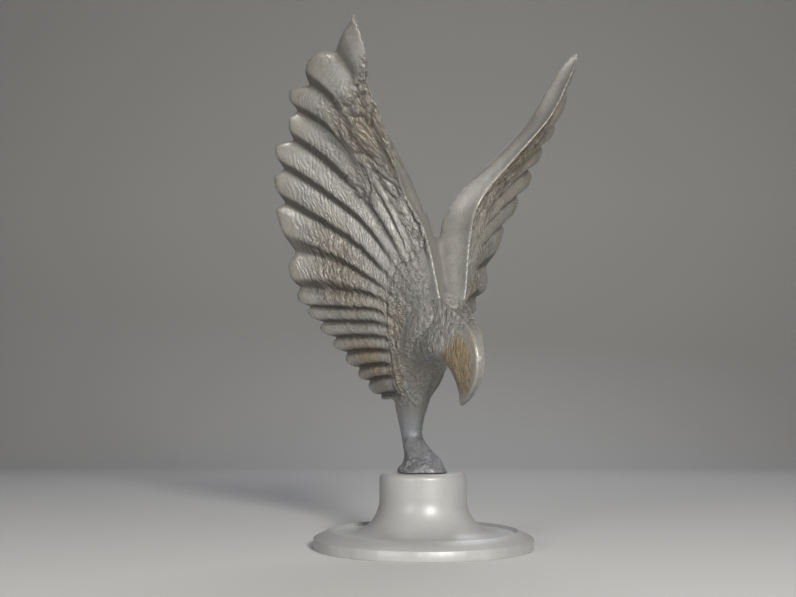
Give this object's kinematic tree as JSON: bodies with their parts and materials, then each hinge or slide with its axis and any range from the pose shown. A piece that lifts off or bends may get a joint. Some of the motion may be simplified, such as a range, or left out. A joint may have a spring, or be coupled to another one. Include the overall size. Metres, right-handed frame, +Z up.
{
  "type": "eagle figurine",
  "caption": "Eagle figurine with raised feathered wings and a bent, hook-beaked head, on a slender stem and rough mound over a turned round plinth.",
  "frame": {"origin": "centre of the plinth's underside", "axes": "+Z up, the bird faces -Y, X runs across the wings"},
  "size_m": [0.1388, 0.1095, 0.2225],
  "materials": {
    "cast_metal": "satin grey casting with brown patina",
    "plinth_stone": "pale grey, honed to a satin"
  },
  "bodies": {
    "root": {"eagle": "cast_metal", "plinth": "plinth_stone"}
  },
  "joints": []
}
